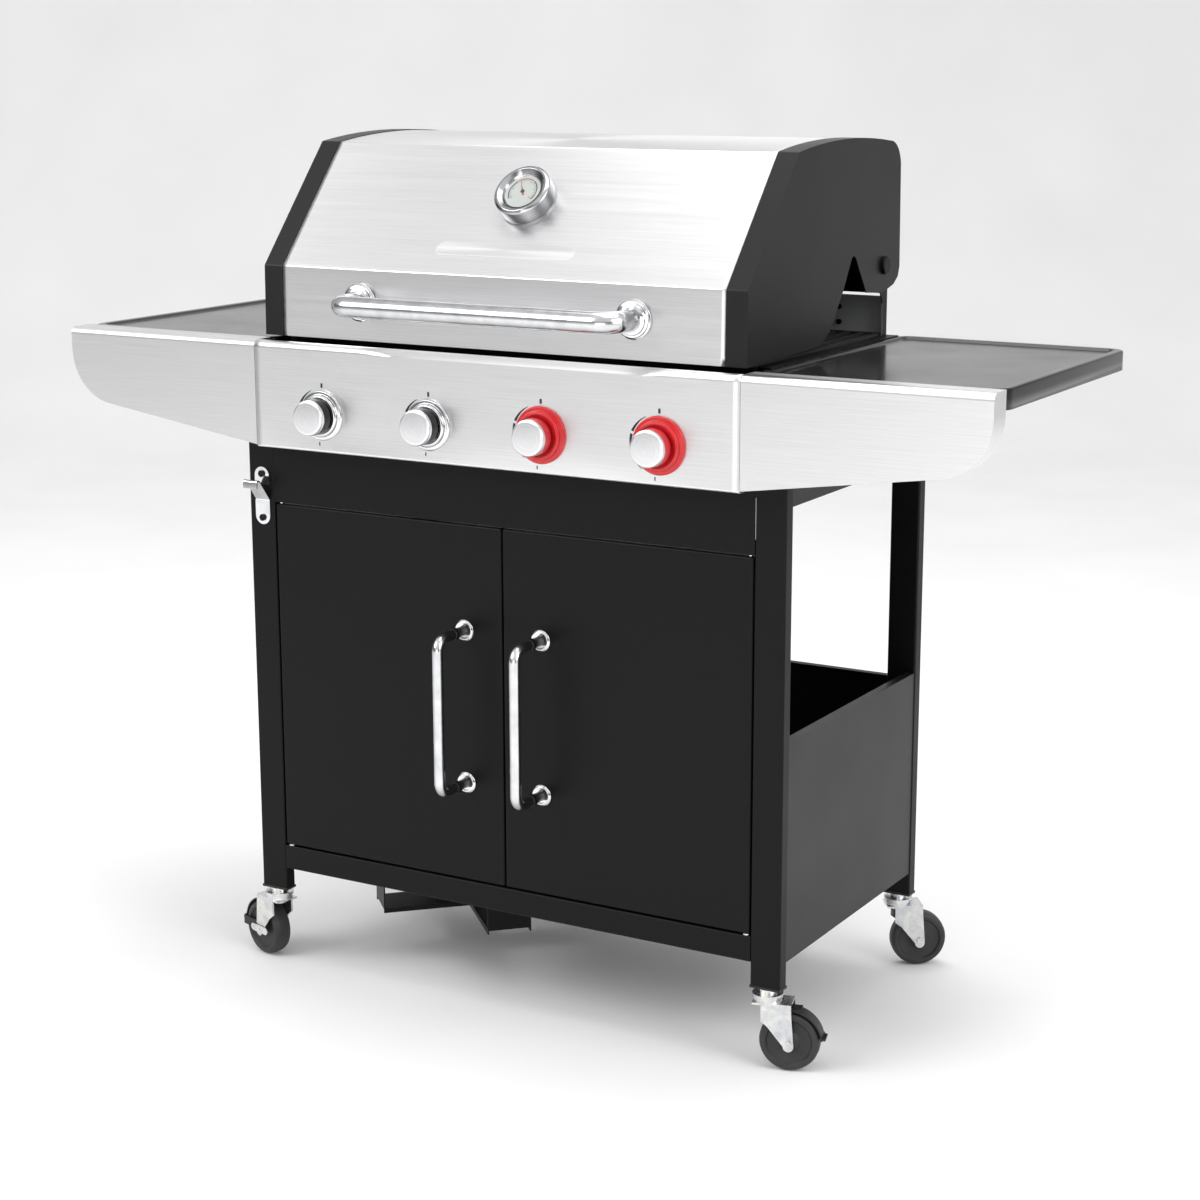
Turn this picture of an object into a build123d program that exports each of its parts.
"""Four-burner gas barbecue grill on a two-door cart with castors.

Millimetres, +X to the right, +Y to the back, +Z up.  Everything is drawn with Y = 0 on the
front face of the legs and Z = 0 on the ground.  At the end the whole grill is shifted along Y
so that the origin lies at the bottom centre of its bounding box.
"""
import os

from build123d import *

# ---------------------------------------------------------------- cart
cart_half_width = 389.0
cart_depth = 413.0
leg_width = 40.0
leg_depth = 19.0
leg_wall = 1.5
leg_bottom = 104.4
leg_top = 825.5
leg_corner = 2.5
sheet = 1.2
leg_inner_x = cart_half_width - leg_width
leg_centre_x = cart_half_width - leg_width / 2
rear_leg_y = cart_depth - leg_depth
panel_inset = 1.3
panel_x = cart_half_width - panel_inset
floor_top = 151.2
floor_flange = 15.0
side_panel_bottom = 133.7
side_panel_top = 410.0
back_panel_top = 402.0
upper_rail_bottom = 693.0
upper_rail_top = 790.0
rear_rail_bottom = 725.0
rear_rail_top = 765.0
bottom_rail_bottom = 133.0
bottom_rail_top = 166.0
top_panel_bottom = 635.0
top_panel_top = 716.0

# ---------------------------------------------------------------- gas cylinder well
well_x = -163.0
well_y = 206.0
well_radius = 140.0
cross_arm = 148.0
cross_width = 59.0
cross_base = 67.0
cross_sheet = 2.0

# ---------------------------------------------------------------- doors
door_gap = 1.8
door_bottom = 168.0
door_top = 633.0
door_depth = 18.0
door_bend = 3.0
door_axis_inset = 6.0
door_outer_x = leg_inner_x - door_gap
door_inner_x = 0.8
door_axis_x = door_outer_x - door_axis_inset
door_axis_y = door_axis_inset
pin_radius = 3.0
fixed_fit = 0.02
running_fit = 0.05
door_handle_x = 56.0
door_handle_low = 298.5
door_handle_high = 497.8
door_handle_reach = 62.0
door_handle_radius = 7.0

# ---------------------------------------------------------------- fascia and shelves
fascia_front = -36.0
fascia_bottom = 713.0
fascia_top = 850.0
fascia_half = 345.8
wing_inner = 346.2
wing_outer = 650.9
wing_bottom_inner = 716.0
wing_bottom_outer = 760.1
wing_corner = 70.0
fascia_back = -26.0
fascia_roll = 9.0
scoop_left = -150.0
scoop_right = 225.0
shelf_inner = 346.5
shelf_outer = 650.0
shelf_bottom = 825.5
shelf_top = 849.5
shelf_rim = 14.0
shelf_recess = 3.0

# ---------------------------------------------------------------- firebox
box_half = 335.0
box_sheet = 1.5
box_front = 28.0
box_rear = 400.0
box_bottom = 697.0
side_wall_top = 850.0
front_wall_top = 850.0
back_wall_top = 900.0
strap_front = 384.0
strap_rear = 398.0
ear_radius = 18.0
wall_bottom = 716.0
tamer_ledge = 798.5
grate_ledge = 843.5
ledge_depth = 11.0
floor_edge_z = 748.0
floor_centre_z = 722.0
burner_x = (-241.5, -80.5, 80.5, 241.5)
burner_z = 764.0
burner_radius = 13.0
rack_z = 955.0
tray_half = 330.0
tray_front = 34.0
tray_rear = 392.0
tray_base = 698.5
tray_top = 714.0

# ---------------------------------------------------------------- gas train and knobs
knob_z = 761.0
manifold_y = 12.0
manifold_z = 740.0
manifold_radius = 10.0
inlet_x = -300.0
inlet_radius = 7.0
inlet_z = 676.0
inlet_end = 62.0
stem_radius = 4.0
knob_radius = 23.0
knob_front = -69.0
knob_push = 3.0
bezel_front = -46.0
knob_back = bezel_front - knob_push - 0.4
chrome_bezel_radius = 32.0
red_bezel_radius = 35.0

# ---------------------------------------------------------------- lid
lid_half = 343.0
cap_inner = 315.0
cap_sheet = 1.5
skin_inset = 1.0
lid_front_low = (-14.0, 855.0)
lid_kink = (-12.5, 943.0)
lid_brow = (117.4, 1093.0)
lid_crown = (239.0, 1103.0)
lid_crown_rear = (380.0, 1096.6)
lid_corner_mid = (403.5, 1087.0)
lid_rear_high = (413.5, 1066.0)
lid_rear_low = (416.5, 942.0)
lid_bend = 4.0
hinge_y = 368.0
hinge_z = 942.0
hinge_radius = 4.0
rear_panel_low = 940.0
rear_rim_low = 1000.0
lip_radius = 45.5
lip_half = 331.0
lid_handle_x = 195.0
lid_handle_z = 903.0
lid_handle_y = -67.0
lid_handle_radius = 13.0
gauge_x = 5.0
gauge_along = 114.0
gauge_radius = 37.0
gauge_depth = 25.0

# ---------------------------------------------------------------- castors
wheel_radius = 37.5
wheel_half = 12.0
castor_trail = 28.0
fork_gap = 14.0
fork_sheet = 2.5
crown_low = 84.5
crown_high = 87.0
race_high = 91.0
plug_flange_low = 101.4
axle_radius = 4.0
castors = {
    "front_left": (-leg_centre_x, leg_depth / 2, 162.0),
    "front_right": (leg_centre_x, leg_depth / 2, 16.5),
    "rear_left": (-leg_centre_x, cart_depth - leg_depth / 2, 128.0),
    "rear_right": (leg_centre_x, cart_depth - leg_depth / 2, 36.0),
}


# ---------------------------------------------------------------- helpers
def block(x0, x1, y0, y1, z0, z1):
    """Rectangular block between two corners."""
    return Pos((x0 + x1) / 2, (y0 + y1) / 2, (z0 + z1) / 2) * Box(x1 - x0, y1 - y0, z1 - z0)


def rod_x(x0, x1, y, z, radius):
    """Round bar along X."""
    return Pos((x0 + x1) / 2, y, z) * Rot(0, 90, 0) * Cylinder(radius, x1 - x0)


def rod_y(x, y0, y1, z, radius):
    """Round bar along Y."""
    return Pos(x, (y0 + y1) / 2, z) * Rot(90, 0, 0) * Cylinder(radius, y1 - y0)


def rod_z(x, y, z0, z1, radius):
    """Round bar along Z."""
    return Pos(x, y, (z0 + z1) / 2) * Cylinder(radius, z1 - z0)


def both_sides(shape):
    """A right-hand piece and its left-hand mirror image."""
    return [shape, mirror(shape, about=Plane.YZ)]


def slab_x(face, x0, x1):
    """Profile drawn in the YZ plane, given thickness from x0 to x1."""
    return Pos(x0, 0, 0) * extrude(face, amount=x1 - x0, dir=(1, 0, 0))


def slab_y(face, y0, y1):
    """Profile drawn in the XZ plane, given thickness from y0 to y1."""
    return Pos(0, y0, 0) * extrude(face, amount=y1 - y0, dir=(0, 1, 0))


def hollow_bar(x0, x1, y0, y1, z0, z1, axis, wall):
    """Square tube that is open at both ends along one axis."""
    outer = block(x0, x1, y0, y1, z0, z1)
    outer = fillet(outer.edges().filter_by(axis), leg_corner)
    shrink = {Axis.X: (0, wall, wall), Axis.Z: (wall, wall, 0)}[axis]
    inner = block(x0 + shrink[0], x1 - shrink[0], y0 + shrink[1], y1 - shrink[1],
                  z0 + shrink[2], z1 - shrink[2])
    return outer - inner


def bent_bar(points, bend, radius):
    """Round bar along a path with rounded corners."""
    path = FilletPolyline(*points, radius=bend)
    start = Plane(origin=path @ 0, z_dir=path % 0)
    return sweep(start * Circle(radius), path=path)


# ---------------------------------------------------------------- cart pieces
def make_legs():
    """Four steel tubes, open at both ends."""
    front = hollow_bar(leg_inner_x, cart_half_width, 0, leg_depth, leg_bottom, leg_top,
                       Axis.Z, leg_wall)
    rear = Pos(0, rear_leg_y, 0) * front
    return both_sides(front) + both_sides(rear)


def make_side_panels():
    """Lower side sheets with inward flanges at the top and bottom."""
    plate = block(panel_x - sheet, panel_x, leg_depth, rear_leg_y, side_panel_bottom, side_panel_top)
    top = block(panel_x - 12, panel_x, leg_depth, rear_leg_y, side_panel_top - sheet, side_panel_top)
    low = block(panel_x - 15, panel_x, leg_depth, rear_leg_y, side_panel_bottom,
                side_panel_bottom + sheet)
    return both_sides(plate + top + low)


def make_bottom_panel():
    """Cabinet floor with turned-down flanges and the round cylinder hole."""
    half = panel_x - sheet
    low = floor_top - floor_flange
    tray = block(-half, half, leg_depth, rear_leg_y, low, floor_top)
    tray -= block(-half + sheet, half - sheet, leg_depth + sheet, rear_leg_y - sheet,
                  low, floor_top - sheet)
    return tray - rod_z(well_x, well_y, low - 1, floor_top + 1, well_radius)


def make_back_panel():
    """Lower back sheet between the rear legs."""
    y0 = cart_depth - 9
    plate = block(-leg_inner_x, leg_inner_x, y0, y0 + sheet, side_panel_bottom, back_panel_top)
    top = block(-leg_inner_x, leg_inner_x, y0 - 9, y0, back_panel_top - sheet, back_panel_top)
    return plate + top


def make_front_bottom_rail():
    """Tube under the doors, with holes for the lower door pins."""
    rail = hollow_bar(-leg_inner_x, leg_inner_x, 0, leg_depth, bottom_rail_bottom,
                      bottom_rail_top, Axis.X, sheet)
    for side in (-1, 1):
        rail -= rod_z(side * door_axis_x, door_axis_y, 160, 170, pin_radius + fixed_fit)
    return rail


def make_front_top_panel():
    """Sheet above the doors, with holes for the upper door pins."""
    plate = block(-leg_inner_x, leg_inner_x, 0, sheet, top_panel_bottom, top_panel_top)
    low = block(-leg_inner_x, leg_inner_x, 0, leg_depth, top_panel_bottom,
                top_panel_bottom + sheet)
    lip = block(-leg_inner_x, leg_inner_x, leg_depth - sheet, leg_depth, top_panel_bottom,
                top_panel_bottom + 15)
    panel = plate + low + lip
    for side in (-1, 1):
        panel -= rod_z(side * door_axis_x, door_axis_y, 630, 640, pin_radius + fixed_fit)
    return panel


def make_upper_rails():
    """Upper side sheets and the tube that joins the rear legs."""
    plate = block(panel_x - sheet, panel_x, leg_depth, rear_leg_y, upper_rail_bottom,
                  upper_rail_top)
    low = block(panel_x - 15, panel_x, leg_depth, rear_leg_y, upper_rail_bottom,
                upper_rail_bottom + sheet)
    rear = hollow_bar(-leg_inner_x, leg_inner_x, box_rear + 1, cart_depth, rear_rail_bottom,
                      rear_rail_top, Axis.X, sheet)
    return both_sides(plate + low) + [rear]


def make_tank_cross():
    """Two crossed straps that carry the cylinder's foot below the cabinet floor."""
    half = cross_width / 2
    top = floor_top - sheet
    arm = block(-cross_arm, cross_arm, -half, half, cross_base, cross_base + cross_sheet)
    for side in (-1, 1):
        inner, outer = sorted((side * (cross_arm - cross_sheet), side * cross_arm))
        arm += block(inner, outer, -half, half, cross_base, top)
        inner, outer = sorted((side * cross_arm, side * (cross_arm + 12)))
        arm += block(inner, outer, -half, half, top - cross_sheet, top)
        low, high = sorted((side * half, side * (half - 1.5)))
        arm += block(-cross_arm, cross_arm, low, high, cross_base - 5, cross_base)
    cross = Rot(0, 0, 45) * arm + Rot(0, 0, -45) * arm
    return Pos(well_x, well_y, 0) * cross


# ---------------------------------------------------------------- doors
def make_door():
    """Right-hand door: a pan with turned-back edges and holes for its pivot pins."""
    pan = block(door_inner_x, door_outer_x, 0, door_depth, door_bottom, door_top)
    front = pan.faces().sort_by(Axis.Y)[0]
    pan = fillet(front.edges(), door_bend)
    inner = block(door_inner_x + sheet, door_outer_x - sheet, sheet, door_depth,
                  door_bottom + sheet, door_top - sheet)
    inner_front = inner.faces().sort_by(Axis.Y)[0]
    inner = fillet(inner_front.edges(), door_bend - sheet)
    pan -= inner
    pan -= rod_z(door_axis_x, door_axis_y, door_bottom - 1, door_bottom + 3,
                 pin_radius + running_fit)
    pan -= rod_z(door_axis_x, door_axis_y, door_top - 3, door_top + 1,
                 pin_radius + running_fit)
    return pan


def make_door_pins():
    """Four pivot pins; the lower two have a collar that carries the door."""
    low = rod_z(door_axis_x, door_axis_y, 158, 178, pin_radius)
    collar = rod_z(door_axis_x, door_axis_y, bottom_rail_top, door_bottom - 0.3, 5.0)
    high = rod_z(door_axis_x, door_axis_y, 623, 643, pin_radius)
    return both_sides(low + collar) + both_sides(high)


def make_door_handle():
    """Right-hand handle: bent tube and the two flat rosettes on the door."""
    end_y = -30.0
    points = [
        (door_handle_x, end_y, door_handle_low),
        (door_handle_x, -door_handle_reach, door_handle_low),
        (door_handle_x, -door_handle_reach, door_handle_high),
        (door_handle_x, end_y, door_handle_high),
    ]
    tube = bent_bar(points, 18, door_handle_radius)
    rosettes = []
    for z in (door_handle_low, door_handle_high):
        disc = rod_y(door_handle_x, -4, 0, z, 14.0)
        disc = chamfer(disc.faces().sort_by(Axis.Y)[0].edges(), 1.5)
        rosettes.append(disc)
    return [tube] + rosettes


def make_door_handle_posts():
    """Right-hand pair of ferrules between the handle tube and its rosettes."""
    posts = []
    for z in (door_handle_low, door_handle_high):
        post = rod_y(door_handle_x, -30, -4, z, 6.0)
        collar = rod_y(door_handle_x, -30, -24, z, 7.5)
        posts.append(post + collar)
    return posts


# ---------------------------------------------------------------- fascia and shelves
def make_control_panel():
    """Centre fascia: front sheet with a rolled top edge that turns into a finger scoop."""
    half = fascia_half
    front, back = fascia_front, fascia_back
    low, top, roll = fascia_bottom, fascia_top, fascia_top - fascia_roll
    outer = block(-half, half, front, back, low, top)
    edges = outer.edges().filter_by(Axis.X).group_by(Axis.Y)[0].sort_by(Axis.Z)
    outer = fillet(edges[-1], fascia_roll)
    outer = fillet(outer.edges().filter_by(Axis.X).sort_by(Axis.Z)[0], 4.0)
    inner = block(-half + sheet, half - sheet, front + sheet, back + 9, low + sheet, top - sheet)
    edges = inner.edges().filter_by(Axis.X).group_by(Axis.Y)[0].sort_by(Axis.Z)
    inner = fillet(edges[-1], fascia_roll - sheet)
    panel = outer - inner
    panel += block(-half, half, back - sheet, back, roll, top)
    panel += block(-half, half, back - sheet, back + 6, low, low + sheet)
    for side in (-1, 1):
        x0, x1 = sorted((side * half, side * (half - sheet)))
        panel += block(x0, x1, back - sheet, box_front - 2, low + 3, roll)
    panel -= block(scoop_left, scoop_right, front - 1, back - sheet, roll, top + 1)
    slope = Polyline(
        (front, roll - 1), (front, roll + 0.3), (back - sheet, top), (back, top),
        (back, top - sheet), (back - 0.7, top - sheet), (front + sheet, roll - 0.2),
        (front + sheet, roll - 1), (front, roll - 1))
    panel += slab_x(make_face(Plane.YZ * slope), scoop_left, scoop_right)
    for x in (scoop_left - sheet, scoop_right):
        panel += outer & block(x, x + sheet, front, back, roll - 1, top)
    for x in burner_x:
        panel -= rod_y(x, front - 1, front + 5, knob_z, stem_radius + 2)
    return panel


def make_wing_fascia():
    """Right-hand wing: a pan with turned-back edges and one large rounded corner."""
    outline = Polyline(
        (wing_inner, wing_bottom_inner), (wing_outer, wing_bottom_outer),
        (wing_outer, fascia_top), (wing_inner, fascia_top), (wing_inner, wing_bottom_inner))
    face = make_face(Plane.XZ * outline)
    corner = face.vertices().sort_by_distance((wing_outer, 0, wing_bottom_outer))[0]
    face = fillet(corner, wing_corner)
    outer = slab_y(face, fascia_front, 0)
    top_front = outer.edges().group_by(Axis.Y)[0].filter_by(
        lambda edge: edge.center().Z > fascia_top - 1)
    outer = fillet(top_front, fascia_roll)
    inner = slab_y(offset(face, amount=-sheet, kind=Kind.INTERSECTION), fascia_front + sheet, 0)
    inner_front = inner.edges().group_by(Axis.Y)[0].filter_by(
        lambda edge: edge.center().Z > fascia_top - 2)
    inner = fillet(inner_front, fascia_roll - sheet)
    return outer - inner


def make_shelf():
    """Right-hand shelf: raised rim, recessed top and turned-down skirt."""
    shelf = block(shelf_inner, shelf_outer, 0, cart_depth, shelf_bottom, shelf_top)
    shelf = fillet(shelf.faces().sort_by(Axis.Z)[-1].edges(), 1.4)
    recess = block(shelf_inner + shelf_rim, shelf_outer - shelf_rim, shelf_rim,
                   cart_depth - shelf_rim, shelf_top - shelf_recess, shelf_top + 1)
    recess = fillet(recess.edges().filter_by(Axis.Z), 6.0)
    wall = 1.6
    under = block(shelf_inner + wall, shelf_outer - wall, wall, cart_depth - wall,
                  shelf_bottom, shelf_top - shelf_recess - wall)
    return shelf - recess - under


# ---------------------------------------------------------------- firebox
def make_firebox_walls():
    """Two side walls with hinge ears on straps, the front wall and the back wall."""
    x0 = box_half - box_sheet
    outline = Polyline(
        (box_front, box_bottom), (strap_rear, box_bottom), (strap_rear, 914), (386, hinge_z),
        (350, hinge_z), (360, 918), (376, 908), (strap_front, 892), (strap_front, side_wall_top),
        (box_front, side_wall_top), (box_front, box_bottom))
    side = slab_x(make_face(Plane.YZ * outline), x0, box_half)
    side += rod_x(x0, box_half, hinge_y, hinge_z, ear_radius)
    side -= rod_x(x0 - 1, box_half + 1, hinge_y, hinge_z, hinge_radius + fixed_fit)
    side += block(box_half, 352, box_front + 2, strap_rear, shelf_top, shelf_top + box_sheet)
    side += block(box_half - 1, box_half, box_front + 2, strap_rear, shelf_top, side_wall_top + 1)
    side += block(x0 - 21, box_half, box_front + 2, strap_rear, box_bottom, box_bottom + sheet)
    front = block(-x0, x0, box_front, box_front + box_sheet, wall_bottom, front_wall_top)
    back = block(-x0, x0, box_rear - 2.7, box_rear - 2.7 + box_sheet, wall_bottom, back_wall_top)
    for ledge in (tamer_ledge, grate_ledge):
        front += block(-x0, x0, box_front + box_sheet, box_front + ledge_depth,
                       ledge - box_sheet, ledge)
        back += block(-x0, x0, box_rear - 2.7 - ledge_depth, box_rear - 2.7,
                      ledge - box_sheet, ledge)
    for x in burner_x:
        front -= rod_y(x, box_front - 1, box_front + 2, burner_z, 10.0)
        front -= rod_y(x + 24, box_front - 1, box_front + 2, burner_z + 6, 3.5)
    return both_sides(side) + [front, back]


def make_firebox_floor():
    """Shallow V of sheet that drains to a hole above the grease tray."""
    half = box_half - box_sheet
    outline = Polyline(
        (-half, floor_edge_z), (0, floor_centre_z), (half, floor_edge_z),
        (half, floor_edge_z + box_sheet), (0, floor_centre_z + box_sheet),
        (-half, floor_edge_z + box_sheet), (-half, floor_edge_z))
    floor = slab_y(make_face(Plane.XZ * outline), box_front + box_sheet, box_rear - 2.7)
    return floor - rod_z(0, 205, floor_centre_z - 5, floor_centre_z + 10, 25)


def make_burners():
    """Four closed burner tubes with a mouth flange and rows of flame ports."""
    burners = []
    front = box_front + box_sheet
    for x in burner_x:
        tube = rod_y(x, front, 385, burner_z, burner_radius)
        tube += rod_y(x, front, front + 1.5, burner_z, 17)
        tube -= rod_y(x, front - 1, 383, burner_z, burner_radius - 1.2)
        for port in range(16):
            y = 70 + port * 19.5
            tube -= rod_x(x - 20, x + 20, y, burner_z + 4, 1.6)
        burners.append(tube)
    return burners


def make_flame_tamers():
    """Four tent-shaped sheets above the burners."""
    tamers = []
    for x in burner_x:
        edge, ridge = tamer_ledge, tamer_ledge + 24
        outline = Polyline((x - 50, edge), (x, ridge), (x + 50, edge), (x + 48, edge),
                           (x, ridge - 2.4), (x - 48, edge), (x - 50, edge))
        tamers.append(slab_y(make_face(Plane.XZ * outline), box_front + 3, 390))
    return tamers


def make_cooking_grates():
    """Two cast grates with bars along Y and two cross ribs each."""
    low, high = grate_ledge, grate_ledge + 10
    y0, y1 = box_front + 3, box_rear - 6
    grate = block(3, 331, y0, y0 + 9, low, high) + block(3, 331, y1 - 9, y1, low, high)
    grate += block(3, 11, y0, y1, low, high) + block(323, 331, y0, y1, low, high)
    for index in range(1, 16):
        x = 7 + index * 20
        grate += block(x - 3.5, x + 3.5, y0 + 4, y1 - 4, low + 2, high)
    for y in (150, 274):
        grate += block(5, 329, y - 3, y + 3, low, high - 3)
    return both_sides(grate)


def make_warming_rack():
    """Wire rack above the rear of the grates, on two bars fixed to the hinge ears."""
    inner = box_half - box_sheet
    rack = block(inner - 4, inner, 236, 383, rack_z - 3, rack_z + 3)
    rack += block(-inner, 4 - inner, 236, 383, rack_z - 3, rack_z + 3)
    for y in (240, 260, 280, 300, 320, 340):
        rack += rod_x(3 - inner, inner - 3, y, rack_z, 2.4)
    for x in (-165, 0, 165):
        rack += block(x - 2, x + 2, 238, 342, rack_z - 4, rack_z)
    return rack


def make_grease_tray():
    """Shallow drawer under the firebox with a drain hole and a pull lip at the back."""
    tray = block(-tray_half, tray_half, tray_front, tray_rear, tray_base, tray_top)
    tray -= block(-tray_half + sheet, tray_half - sheet, tray_front + sheet, tray_rear - sheet,
                  tray_base + sheet, tray_top + 1)
    tray += block(-90, 90, tray_rear, tray_rear + 20, tray_top - 4, tray_top - 4 + sheet)
    tray += block(-90, 90, tray_rear + 20 - sheet, tray_rear + 20, tray_top - 14, tray_top - 4)
    return tray - rod_z(0, 205, tray_base - 1, tray_base + 3, 20)


def make_grease_cup():
    """Round cup under the tray's drain hole."""
    cup = rod_z(0, 205, 655, tray_base, 37) + rod_z(0, 205, tray_base - 2, tray_base, 42)
    return cup - rod_z(0, 205, 656.2, tray_base + 1, 35.8)


# ---------------------------------------------------------------- gas train and knobs
def make_gas_manifold():
    """Closed pipe over the cook box's front, and four valves with nozzles."""
    pipe = rod_x(-320, 320, manifold_y, manifold_z, manifold_radius)
    pipe -= rod_x(-318, 318, manifold_y, manifold_z, manifold_radius - 2)
    pipe -= rod_z(inlet_x, manifold_y, inlet_z, manifold_z, 4)
    pieces = [pipe]
    top = manifold_z + manifold_radius
    for x in burner_x:
        valve = block(x - 12, x + 12, -26, 20, top, top + 24)
        valve = fillet(valve.edges().filter_by(Axis.Y), 4)
        valve += rod_y(x, 20, 38, burner_z, 4.5)
        valve += rod_y(x, 20, 26, burner_z, 8)
        valve -= rod_y(x, 15, 40, burner_z, 1.2)
        valve -= rod_y(x, -27, 0, knob_z, stem_radius + running_fit)
        pieces.append(valve)
    return pieces


def make_gas_inlet():
    """Riser under the manifold, and the elbow and fitting that point backwards."""
    joint_z = inlet_z + 8.5
    riser = rod_z(inlet_x, manifold_y, joint_z, manifold_z, inlet_radius)
    riser -= rod_x(inlet_x - 10, inlet_x + 10, manifold_y, manifold_z, manifold_radius)
    riser -= rod_z(inlet_x, manifold_y, joint_z - 1, manifold_z, 4)
    elbow = block(inlet_x - 8.5, inlet_x + 8.5, 3.5, 20.5, inlet_z - 8.5, joint_z)
    elbow = fillet(elbow.edges().filter_by(Axis.Z), 2.5)
    elbow += rod_y(inlet_x, manifold_y, inlet_end, inlet_z, inlet_radius)
    elbow += rod_y(inlet_x, inlet_end - 28, inlet_end - 20, inlet_z, 11)
    elbow -= rod_z(inlet_x, manifold_y, inlet_z - 4, joint_z + 1, 4)
    elbow -= rod_y(inlet_x, manifold_y, inlet_end + 1, inlet_z, 4)
    return [riser, elbow]


def make_igniters():
    """Ceramic electrodes that reach through the firebox front beside each burner."""
    rods = []
    for x in burner_x:
        rod = rod_y(x + 24, box_front - 14, 60, burner_z + 6, 3.0)
        rod += rod_y(x + 24, box_front - 2, box_front, burner_z + 6, 6.0)
        rod += rod_y(x + 24, 60, 68, burner_z + 6, 1.2)
        rods.append(rod)
    return rods


def make_valve_stem(x):
    """Sliding stem between the valve and its knob."""
    return rod_y(x, -62, -8, knob_z, stem_radius)


def make_bezel(x, radius):
    """Stepped ring on the fascia around a knob."""
    ring = rod_y(x, fascia_front - 4, fascia_front, knob_z, radius)
    ring = chamfer(ring.faces().sort_by(Axis.Y)[0].edges(), 1.5)
    step = rod_y(x, bezel_front, fascia_front - 4, knob_z, radius - 5)
    step = fillet(step.faces().sort_by(Axis.Y)[0].edges(), 2.5)
    return ring + step - rod_y(x, bezel_front - 1, fascia_front + 1, knob_z, 14)


def make_knob(x):
    """Round grip with a raised face plate and an index mark."""
    grip = rod_y(x, knob_front + 2, knob_back, knob_z, knob_radius)
    grip = fillet(grip.faces().sort_by(Axis.Y)[0].edges(), 2.5)
    grip += rod_y(x, knob_front, knob_front + 3, knob_z, knob_radius - 3.5)
    grip -= block(x - 1, x + 1, knob_front - 1, knob_front + 0.8, knob_z + 6, knob_z + 16)
    return grip - rod_y(x, -62, knob_back + 1, knob_z, stem_radius + running_fit)


# ---------------------------------------------------------------- lid
def lid_profile(inset):
    """Lid section in the YZ plane, carried straight down below its lower edge."""
    below = 800
    line = Polyline((lid_rear_high), (lid_rear_low), (lid_rear_low[0], below),
                    (lid_front_low[0], below), lid_front_low, lid_kink, lid_brow)
    crown = ThreePointArc(lid_brow, lid_crown, lid_crown_rear)
    corner = ThreePointArc(lid_crown_rear, lid_corner_mid, lid_rear_high)
    face = make_face(Plane.YZ * (Curve() + [line, crown, corner]))
    for point in (lid_kink, lid_brow):
        vertex = face.vertices().sort_by_distance((0, *point))[0]
        face = fillet(vertex, lid_bend)
    return face if inset == 0 else offset(face, amount=-inset)


def make_lid_end():
    """Right-hand end cap: notched side plate and a rim that wraps onto the lid's front."""
    below = Polyline(
        (-20, 780), (430, 780), (430, 937), (416.6, 937), (412, 925), (399, 916), (385, 912.5),
        (363, 908), (315, 912), (281, 958), (275, 961), (269, 958), (246, 921), (209, 874.5),
        (199, 869.5), (184, 861), (160, 858.5), (-20, lid_front_low[1]), (-20, 780))
    plate = slab_x(lid_profile(0), lid_half - cap_sheet, lid_half)
    plate -= slab_x(make_face(Plane.YZ * below), cap_inner - 1, lid_half + 1)
    ring = slab_x(lid_profile(0), cap_inner, lid_half - cap_sheet)
    ring -= slab_x(lid_profile(cap_sheet), cap_inner - 1, lid_half)
    ring -= block(cap_inner - 1, lid_half, -40, 430, 780, lid_front_low[1])
    ring -= block(cap_inner - 1, lid_half, 300, 430, 780, rear_rim_low)
    cap = plate + ring
    return cap - rod_x(lid_half - 5, lid_half + 1, hinge_y, hinge_z, hinge_radius + running_fit)


def skin_shell():
    """Sheet that follows the lid profile between the two end caps."""
    outer = slab_x(lid_profile(skin_inset), -cap_inner, cap_inner)
    return outer - slab_x(lid_profile(skin_inset + sheet), -cap_inner - 1, cap_inner + 1)


def make_lid_skin():
    """Front band, slanted face and top of the lid, with the gauge hole."""
    skin = skin_shell() - block(-400, 400, -40, 430, 780, lid_front_low[1])
    skin -= block(-400, 400, lid_crown_rear[0], 430, 780, 1120)
    place = gauge_plane()
    return skin - place * Pos(0, 0, -5) * Cylinder(6.0, 20)


def make_lid_rear_panel():
    """Rear of the lid down to the hinge line, with a curved lip that closes the gap below."""
    panel = skin_shell() - block(-400, 400, -40, lid_crown_rear[0], 780, 1120)
    panel -= block(-400, 400, 300, 430, 780, rear_panel_low)
    lip = rod_x(-lip_half, lip_half, hinge_y, hinge_z, lip_radius)
    lip -= rod_x(-lip_half - 1, lip_half + 1, hinge_y, hinge_z, lip_radius - sheet)
    lip &= block(-lip_half, lip_half, hinge_y + 25, hinge_y + 50, hinge_z - 50, hinge_z)
    shelf = block(-cap_inner, cap_inner, hinge_y + lip_radius - 1, lid_rear_low[0] - skin_inset,
                  rear_panel_low, hinge_z)
    return panel + lip + shelf


def make_hinge_pins():
    """Two shouldered pins from the firebox ears through the lid's end caps."""
    pin = rod_x(box_half - 4, lid_half + 3, hinge_y, hinge_z, hinge_radius)
    nut = rod_x(box_half - 7, box_half - box_sheet, hinge_y, hinge_z, 8.0)
    shoulder = rod_x(box_half, lid_half - cap_sheet - 0.4, hinge_y, hinge_z, 8.0)
    head = rod_x(lid_half + 0.4, lid_half + 5, hinge_y, hinge_z, 11.5)
    head = fillet(head.faces().sort_by(Axis.X)[-1].edges(), 2.0)
    return both_sides(pin + nut + shoulder + head)


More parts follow.
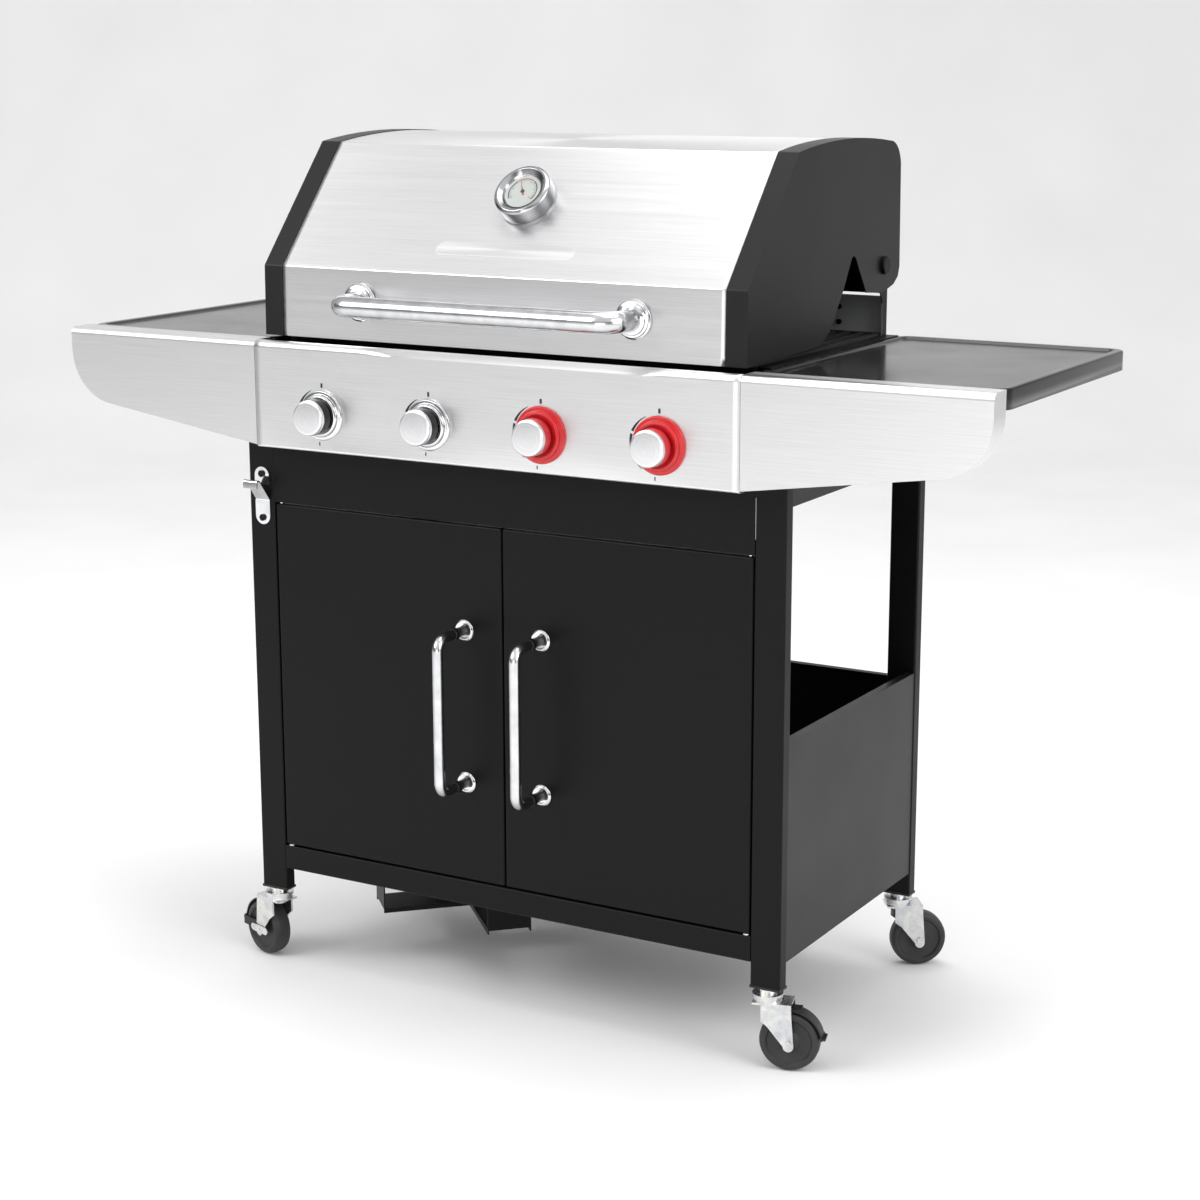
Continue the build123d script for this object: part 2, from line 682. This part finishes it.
def make_lid_handle():
    """Bent tube and two stepped rosettes on the lid's front band."""
    seat = -12.7
    points = [
        (-lid_handle_x, seat - 11, lid_handle_z),
        (-lid_handle_x, lid_handle_y, lid_handle_z),
        (lid_handle_x, lid_handle_y, lid_handle_z),
        (lid_handle_x, seat - 11, lid_handle_z),
    ]
    pieces = [bent_bar(points, 26, lid_handle_radius)]
    for side in (-1, 1):
        x = side * lid_handle_x
        base = rod_y(x, seat - 5, seat, lid_handle_z, 24)
        base = chamfer(base.faces().sort_by(Axis.Y)[0].edges(), 1.5)
        collar = rod_y(x, seat - 11, seat - 5, lid_handle_z, 18)
        collar = fillet(collar.faces().sort_by(Axis.Y)[0].edges(), 2)
        pieces.append(base + collar)
    return pieces


def gauge_plane():
    """Plane of the slanted face at the gauge, with its normal pointing outwards."""
    run = Vector(0, lid_brow[0] - lid_kink[0], lid_brow[1] - lid_kink[1]).normalized()
    normal = Vector(0, -run.Z, run.Y)
    origin = Vector(gauge_x, *lid_kink) + run * gauge_along - normal * skin_inset
    return Plane(origin=origin, x_dir=(1, 0, 0), z_dir=normal)


def make_gauge_body():
    """Round gauge cup with a bevelled mouth, and its probe inside the lid."""
    cup = Pos(0, 0, gauge_depth / 2) * Cylinder(gauge_radius, gauge_depth)
    cup = fillet(cup.faces().sort_by(Axis.Z)[-1].edges(), 3)
    mouth = Pos(0, 0, gauge_depth - 3) * Cone(24, 30, 6)
    well = Pos(0, 0, gauge_depth - 5) * Cylinder(24, 6)
    probe = Pos(0, 0, -30) * Cylinder(4, 60)
    return gauge_plane() * (cup - mouth - well + probe)


def make_gauge_dial():
    """Dial plate and its pointer."""
    dial = Pos(0, 0, gauge_depth - 7.5) * Cylinder(23.9, 1)
    pointer = Pos(0, 0, gauge_depth - 6.5) * Rot(0, 0, -30) * (Pos(0, 6, 0) * Box(1.4, 22, 1))
    return [gauge_plane() * dial, gauge_plane() * pointer]


def make_gauge_glass():
    """Flat window over the dial."""
    return gauge_plane() * (Pos(0, 0, gauge_depth - 5) * Cylinder(23.9, 1.4))


# ---------------------------------------------------------------- bottle opener and screws
def make_bottle_opener():
    """Plate with a hooked hood and a tooth, on the front of the left leg."""
    x, low, high = -367.0, 604.0, 680.0
    plate = block(x - 11.5, x + 11.5, -2, 0, low + 11.5, high - 11.5)
    plate += rod_y(x, -2, 0, low + 11.5, 11.5) + rod_y(x, -2, 0, high - 11.5, 11.5)
    hood = block(x - 11.5, x + 11.5, -27, -2, 634, 660)
    roof = rod_x(x - 12, x + 12, -27, 634, 21)
    hood = hood & (roof + block(x - 12, x + 12, -12, -2, 630, 660))
    hood -= block(x - 9, x + 9, -28, -2, 630, 652)
    opener = plate + hood + block(x - 5, x + 5, -9, -2, 630, 634)
    for z in (low + 9, high - 9):
        opener -= rod_y(x, -3, 1, z, 2.2)
    return opener


def make_screws():
    """Pan-head screws of the cart, the opener and the rack posts."""
    screws = []
    for z in (613.0, 671.0):
        screws.append(rod_y(-367, -4, -2, z, 4.5) + rod_y(-367, -2, 0, z, 2.0))
    for z in (864.3, 883.8):
        screws += both_sides(rod_y(269, box_rear - 4.7, box_rear - 2.7, z, 3.5))
    for z in (160.0, 720.0, 780.0):
        for y in (leg_depth / 2, rear_leg_y + 4.6):
            screws += both_sides(rod_x(leg_inner_x - 2.2, leg_inner_x, y, z, 4.5))
    for z in (150.0, 385.0):
        for x in (-330.0, 0.0, 330.0):
            screws.append(rod_y(x, cart_depth - 9 + sheet, cart_depth - 5.5, z, 4.5))
    return screws


# ---------------------------------------------------------------- castors
def make_leg_plug(x, y):
    """Plastic insert in the foot of a leg, with a flange under the tube."""
    flange = block(x - 20.5, x + 20.5, y - 10, y + 10, plug_flange_low, leg_bottom)
    core = block(x - 18.3, x + 18.3, y - 7.8, y + 7.8, leg_bottom, leg_bottom + 28)
    return flange + core - rod_z(x, y, 90, 140, 5.5)


def make_castor_stem(x, y):
    """Threaded stem with the upper bearing race and the kingpin through the fork."""
    stem = rod_z(x, y, plug_flange_low, 130, 5.45)
    race = rod_z(x, y, race_high + 0.4, 96, 19) + rod_z(x, y, 96, plug_flange_low, 11)
    kingpin = rod_z(x, y, crown_low - 3, race_high + 0.4, 5.0)
    head = rod_z(x, y, crown_low - 5, crown_low - 0.4, 9.0)
    return stem + race + kingpin + head


def make_castor_fork():
    """Pressed fork with its lower bearing race; the trail runs along +X."""
    trail = castor_trail
    cheek = Polyline(
        (-6, crown_high), (31, crown_high), (31.5, 72.5), (34.4, 37.5), (34.5, 33.5),
        (21.5, 33.5), (2, 57.5), (-6, 63.5), (-6, crown_high))
    side = slab_y(make_face(Plane.XZ * cheek), fork_gap, fork_gap + fork_sheet)
    side += rod_y(trail, fork_gap, fork_gap + fork_sheet, 33.5, 6.5)
    fork = side + mirror(side, about=Plane.XZ)
    edge = fork_gap + fork_sheet
    fork += block(-17, 31, -edge, edge, crown_low, crown_high)
    fork += rod_z(0, 0, crown_low, race_high, 17.5)
    fork -= rod_z(0, 0, crown_low - 1, race_high + 1, 5.0 + running_fit)
    fork -= rod_y(trail, -edge - 1, edge + 1, wheel_radius, axle_radius + fixed_fit)
    axle = rod_y(trail, -edge - 3, edge + 3, wheel_radius, axle_radius)
    return [fork, axle]


def make_castor_wheel():
    """Moulded wheel with a domed tread, dished sides and a hub."""
    centre = (castor_trail, wheel_radius)
    wheel = rod_y(centre[0], -wheel_half, wheel_half, centre[1], wheel_radius)
    wheel = fillet(wheel.edges(), 5.0)
    for side in (-1, 1):
        low, high = sorted((side * wheel_half, side * (wheel_half - 3)))
        dish = rod_y(centre[0], low, high, centre[1], 27) - rod_y(centre[0], low, high, centre[1], 10)
        wheel -= dish
    hub = rod_y(centre[0], -fork_gap + 0.4, fork_gap - 0.4, centre[1], 8)
    return wheel + hub - rod_y(centre[0], -20, 20, centre[1], axle_radius + running_fit)


def make_brake_lever():
    """Lever on the axle, with a curved shoe behind the wheel and a pedal above it."""
    trail = castor_trail
    edge = fork_gap + fork_sheet
    shoe = rod_y(trail, -10, 10, wheel_radius, 41) - rod_y(trail, -11, 11, wheel_radius, 39)
    shoe &= block(trail + 3, trail + 42, -10, 10, wheel_radius + 4, wheel_radius + 42)
    shoe += block(trail + 39.2, trail + 44.5, -10, 10, wheel_radius + 5, wheel_radius + 7.5)
    shoe += block(trail + 3, trail + 14, -9, 9, wheel_radius + 39.3, wheel_radius + 41.8)
    web = block(trail, trail + 40, 12.5, 13.7, wheel_radius - 4, wheel_radius + 8)
    web += rod_y(trail, 12.5, 13.7, wheel_radius, 12)
    web += block(trail + 39.2, trail + 40.6, 8, 13.7, wheel_radius + 4, wheel_radius + 8)
    web -= rod_y(trail, 12, 14, wheel_radius, 8 + 0.3)
    bridge = block(trail + 11, trail + 15, 12.5, edge + 2.2, wheel_radius - 3.5, wheel_radius + 3.5)
    arm = block(trail - 17, trail + 11, edge + 0.4, edge + 2.2, wheel_radius - 5, wheel_radius + 5)
    for x in (trail - 17, trail + 11):
        arm += rod_y(x, edge + 0.4, edge + 2.2, wheel_radius, 5)
    lever = shoe + web + bridge + arm
    return lever - rod_y(trail, edge, edge + 3, wheel_radius, axle_radius + running_fit)


def place_castor(piece, name):
    """Turn a castor piece to its resting direction under its leg."""
    x, y, angle = castors[name]
    return Pos(x, y, 0) * Rot(0, 0, angle) * piece


# ---------------------------------------------------------------- assembly
def build_all():
    """Every node of the grill, by name, each a shape or a list of shapes."""
    door, handle, posts = make_door(), make_door_handle(), make_door_handle_posts()
    nodes = {
        "legs": make_legs(),
        "side_panels": make_side_panels(),
        "bottom_panel": make_bottom_panel(),
        "back_panel": make_back_panel(),
        "front_bottom_rail": make_front_bottom_rail(),
        "front_top_panel": make_front_top_panel(),
        "upper_rails": make_upper_rails(),
        "tank_cross": make_tank_cross(),
        "control_panel": make_control_panel(),
        "wing_fascias": both_sides(make_wing_fascia()),
        "side_shelves": both_sides(make_shelf()),
        "firebox_walls": make_firebox_walls(),
        "firebox_floor": make_firebox_floor(),
        "burners": make_burners(),
        "flame_tamers": make_flame_tamers(),
        "cooking_grates": make_cooking_grates(),
        "warming_rack": make_warming_rack(),
        "gas_manifold": make_gas_manifold(),
        "gas_inlet": make_gas_inlet(),
        "igniters": make_igniters(),
        "chrome_knob_bezels": [make_bezel(x, chrome_bezel_radius) for x in burner_x[:2]],
        "red_knob_bezels": [make_bezel(x, red_bezel_radius) for x in burner_x[2:]],
        "bottle_opener": make_bottle_opener(),
        "screws": make_screws(),
        "door_pins": make_door_pins(),
        "lid_hinge_pins": make_hinge_pins(),
        "leg_plugs": [make_leg_plug(x, y) for x, y, _ in castors.values()],
        "castor_stems": [make_castor_stem(x, y) for x, y, _ in castors.values()],
        "lid_skin": make_lid_skin(),
        "lid_ends": both_sides(make_lid_end()),
        "lid_rear_panel": make_lid_rear_panel(),
        "lid_handle": make_lid_handle(),
        "thermometer_body": make_gauge_body(),
        "thermometer_dial": make_gauge_dial(),
        "thermometer_glass": make_gauge_glass(),
        "door_right": door,
        "door_left": mirror(door, about=Plane.YZ),
        "door_handle_right": handle,
        "door_handle_left": [mirror(piece, about=Plane.YZ) for piece in handle],
        "door_handle_posts_right": posts,
        "door_handle_posts_left": [mirror(piece, about=Plane.YZ) for piece in posts],
        "grease_tray": make_grease_tray(),
        "grease_cup": make_grease_cup(),
    }
    for number, x in enumerate(burner_x, start=1):
        nodes[f"valve_stem_{number}"] = make_valve_stem(x)
        nodes[f"knob_{number}"] = make_knob(x)
    fork, wheel, lever = make_castor_fork(), make_castor_wheel(), make_brake_lever()
    for name in castors:
        nodes[f"castor_fork_{name}"] = [place_castor(piece, name) for piece in fork]
        nodes[f"castor_wheel_{name}"] = place_castor(wheel, name)
        if name.startswith("front"):
            nodes[f"castor_brake_{name}"] = place_castor(lever, name)
    return {name: as_compound(shape) for name, shape in nodes.items()}


def as_compound(shape):
    """One shape for a node that holds one or more pieces."""
    if isinstance(shape, list):
        return Compound(children=[piece for item in shape for piece in item.solids()])
    return shape


def centre_of_depth(nodes):
    """Middle of the grill's bounding box along Y, to a tenth of a millimetre."""
    boxes = [shape.bounding_box() for shape in nodes.values()]
    middle = (min(box.min.Y for box in boxes) + max(box.max.Y for box in boxes)) / 2
    return round(middle, 1)


def main():
    os.makedirs("parts", exist_ok=True)
    nodes = build_all()
    shift = centre_of_depth(nodes)
    print(f"origin {shift:.1f} mm behind the legs' front face, {len(nodes)} nodes")
    for name, shape in nodes.items():
        export_step(Pos(0, -shift, 0) * shape, f"parts/{name}.step")


main()
